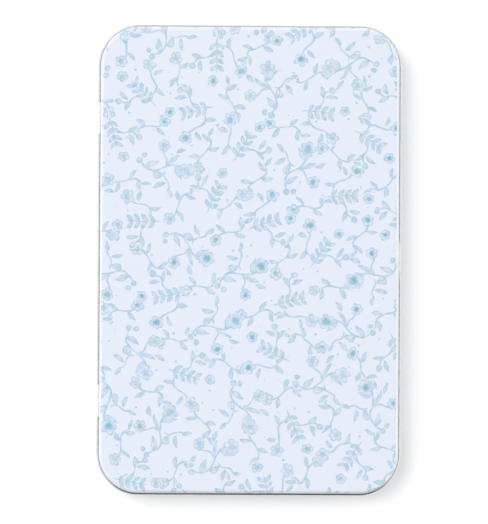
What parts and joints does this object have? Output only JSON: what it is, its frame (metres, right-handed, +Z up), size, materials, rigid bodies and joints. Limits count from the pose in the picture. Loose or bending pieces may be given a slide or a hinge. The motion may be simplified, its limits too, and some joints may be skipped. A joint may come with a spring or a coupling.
{
  "type": "hinged tin box",
  "caption": "Slim hinged tinplate box with a printed lid, a curled hem, tongue hinges at the back and a pressed catch rib at the front.",
  "frame": {"origin": "middle of the closed tin's footprint, on the surface that it lies on", "axes": "+Z up through the lid, +Y along the tin's length, +X towards the catch; the hinge is on the -X side"},
  "size_m": [0.124, 0.1912, 0.02],
  "materials": {
    "lid_print": "glossy varnish over a pale blue print, bare tinplate inside and on the curled hem",
    "tray_print": "glossy varnish over a pale blue print, bare tinplate inside and on the curled rim"
  },
  "bodies": {
    "tray": {"base_tray": "tray_print"},
    "lid": {"lid_shell": "lid_print"}
  },
  "joints": [
    {"name": "lid_hinge", "type": "hinge", "parent": "tray", "child": "lid", "pos_m": [-0.06078, 0, 0.0128], "axis": [0, -1, 0], "range_deg": [0, 180]}
  ]
}
